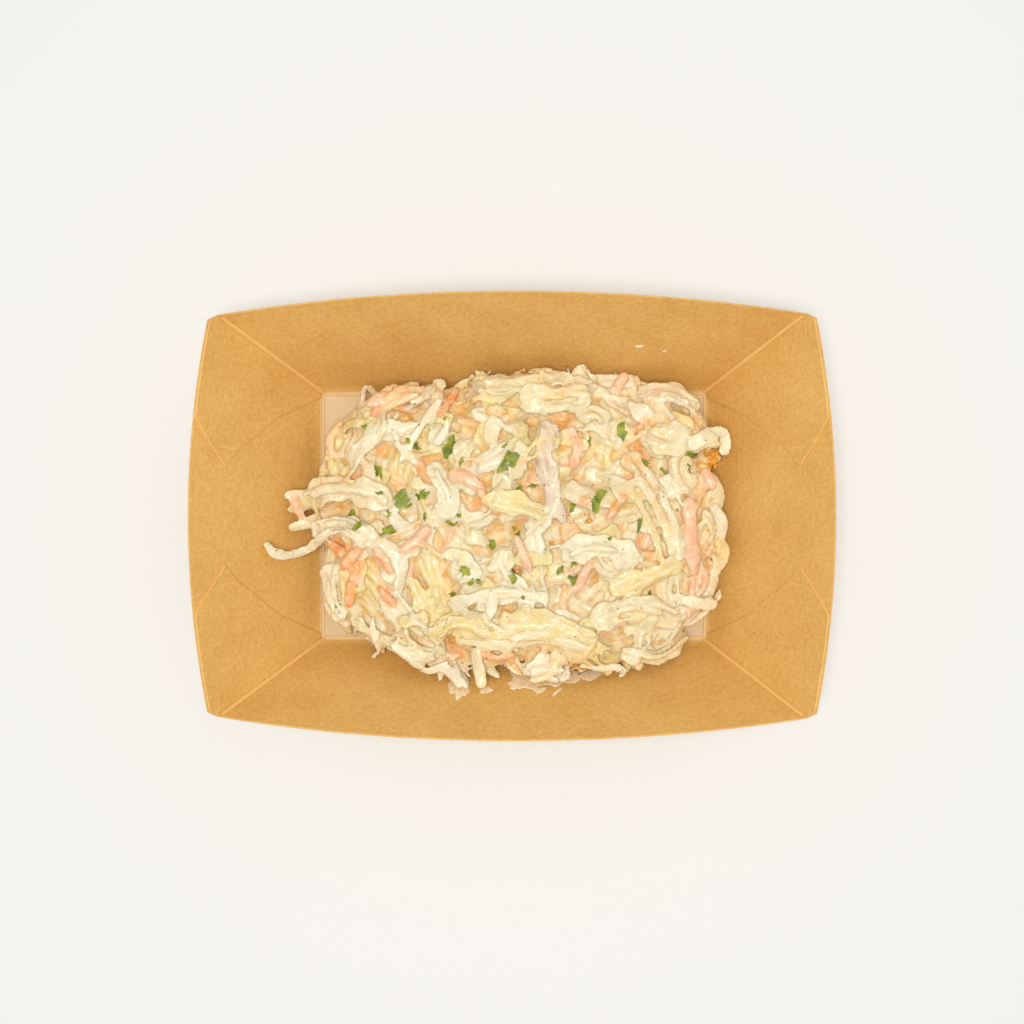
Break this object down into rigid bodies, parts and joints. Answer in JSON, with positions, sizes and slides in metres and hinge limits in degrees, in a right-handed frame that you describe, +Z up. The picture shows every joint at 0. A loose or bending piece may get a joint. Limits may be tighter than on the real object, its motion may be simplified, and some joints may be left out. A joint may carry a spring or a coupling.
{
  "type": "coleslaw in a kraft board tray",
  "caption": "Heap of dressed shredded cabbage and carrot with chopped parsley, in an open folded kraft board food tray with leaning walls.",
  "frame": {"origin": "centre of the tray's footprint, on the surface that it stands on", "axes": "+X along the tray's long side, +Y along its short side, +Z up"},
  "size_m": [0.1656, 0.115, 0.041],
  "materials": {
    "kraft_board": "matte",
    "dressed_cabbage": "satin"
  },
  "bodies": {
    "root": {"tray": "kraft_board", "coleslaw": "dressed_cabbage"}
  },
  "joints": []
}
